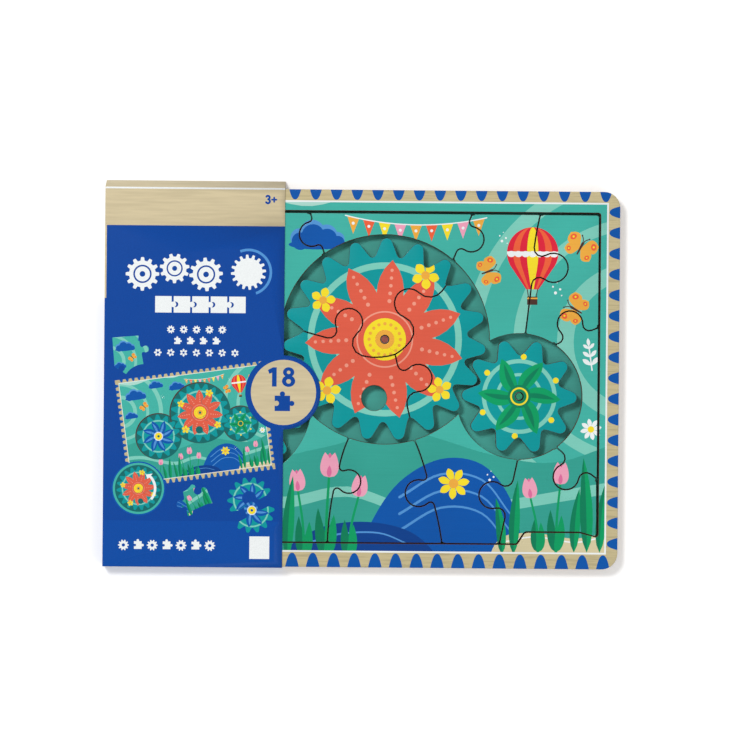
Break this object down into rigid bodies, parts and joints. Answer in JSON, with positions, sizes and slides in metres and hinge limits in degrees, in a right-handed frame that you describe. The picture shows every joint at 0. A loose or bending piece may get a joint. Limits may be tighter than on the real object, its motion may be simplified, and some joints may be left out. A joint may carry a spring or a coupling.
{
  "type": "wooden gear jigsaw puzzle",
  "caption": "Shallow wooden tray of jigsaw pieces round three meshing gears on pegs, turned through a finger hole, with a card sleeve over one end.",
  "frame": {"origin": "centre of the whole object's footprint, on the surface it lies on: the underside of the sleeve's back wall", "axes": "+X along the tray's length, from the sleeve to the bare end; +Y towards the top of the picture; +Z out of the puzzle's face"},
  "size_m": [0.4008, 0.3018, 0.0138],
  "materials": {
    "tray_back": "printed, satin",
    "tray_frame": "printed and varnished, satin",
    "peg_wood": "bare",
    "gear_print": "printed and varnished, satin",
    "piece_print": "printed and varnished, satin",
    "sleeve_card": "printed card, satin"
  },
  "bodies": {
    "tray": {"tray_back_board": "tray_back", "tray_frame": "tray_frame", "left_gear_peg": "peg_wood", "centre_gear_peg": "peg_wood", "right_gear_peg": "peg_wood", "top_left_corner_piece": "piece_print", "top_left_middle_piece": "piece_print", "left_edge_piece": "piece_print", "bottom_left_corner_piece": "piece_print", "bottom_left_middle_piece": "piece_print"},
    "centre_gear": {"centre_gear_hub_piece": "gear_print", "centre_gear_finger_piece": "gear_print"},
    "centre_gear_right": {"centre_gear_right_piece": "gear_print"},
    "left_gear": {"left_gear_crescent_piece": "gear_print", "left_gear_hub_piece": "gear_print"},
    "right_gear": {"right_gear": "gear_print"},
    "top_middle": {"top_middle_piece": "piece_print"},
    "top_right_middle": {"top_right_middle_piece": "piece_print"},
    "top_right_corner": {"top_right_corner_piece": "piece_print"},
    "right_edge": {"right_edge_piece": "piece_print"},
    "bottom_right_corner": {"bottom_right_corner_piece": "piece_print"},
    "bottom_right_middle": {"bottom_right_middle_piece": "piece_print"},
    "bottom_middle": {"bottom_middle_piece": "piece_print"},
    "sleeve": {"card_sleeve": "sleeve_card"}
  },
  "joints": [
    {"name": "centre_gear_spin", "type": "hinge", "parent": "tray", "child": "centre_gear", "pos_m": [0.01791, 0.0277, 0.0042], "axis": [0, 0, 1], "continuous": true},
    {"name": "left_gear_spin", "type": "hinge", "parent": "tray", "child": "left_gear", "pos_m": [-0.10186, -0.02118, 0.0042], "axis": [0, 0, 1], "continuous": true},
    {"name": "right_gear_spin", "type": "hinge", "parent": "tray", "child": "right_gear", "pos_m": [0.12294, -0.0158, 0.0042], "axis": [0, 0, 1], "continuous": true},
    {"name": "sleeve_slide", "type": "slide", "parent": "tray", "child": "sleeve", "axis": [-1, 0, 0], "range_m": [0, 0.18]},
    {"name": "centre_gear_right_lift", "type": "slide", "parent": "centre_gear", "child": "centre_gear_right", "axis": [0, 0, 1], "range_m": [0, 0.03]},
    {"name": "top_middle_lift", "type": "slide", "parent": "tray", "child": "top_middle", "axis": [0, 0, 1], "range_m": [0, 0.03]},
    {"name": "top_right_middle_lift", "type": "slide", "parent": "tray", "child": "top_right_middle", "axis": [0, 0, 1], "range_m": [0, 0.03]},
    {"name": "top_right_corner_lift", "type": "slide", "parent": "tray", "child": "top_right_corner", "axis": [0, 0, 1], "range_m": [0, 0.03]},
    {"name": "right_edge_lift", "type": "slide", "parent": "tray", "child": "right_edge", "axis": [0, 0, 1], "range_m": [0, 0.03]},
    {"name": "bottom_right_corner_lift", "type": "slide", "parent": "tray", "child": "bottom_right_corner", "axis": [0, 0, 1], "range_m": [0, 0.03]},
    {"name": "bottom_right_middle_lift", "type": "slide", "parent": "tray", "child": "bottom_right_middle", "axis": [0, 0, 1], "range_m": [0, 0.03]},
    {"name": "bottom_middle_lift", "type": "slide", "parent": "tray", "child": "bottom_middle", "axis": [0, 0, 1], "range_m": [0, 0.03]}
  ],
  "couplings": [
    {"joint": "left_gear_spin", "follows": "centre_gear_spin", "ratio": -1.3571},
    {"joint": "right_gear_spin", "follows": "centre_gear_spin", "ratio": -1.9}
  ]
}
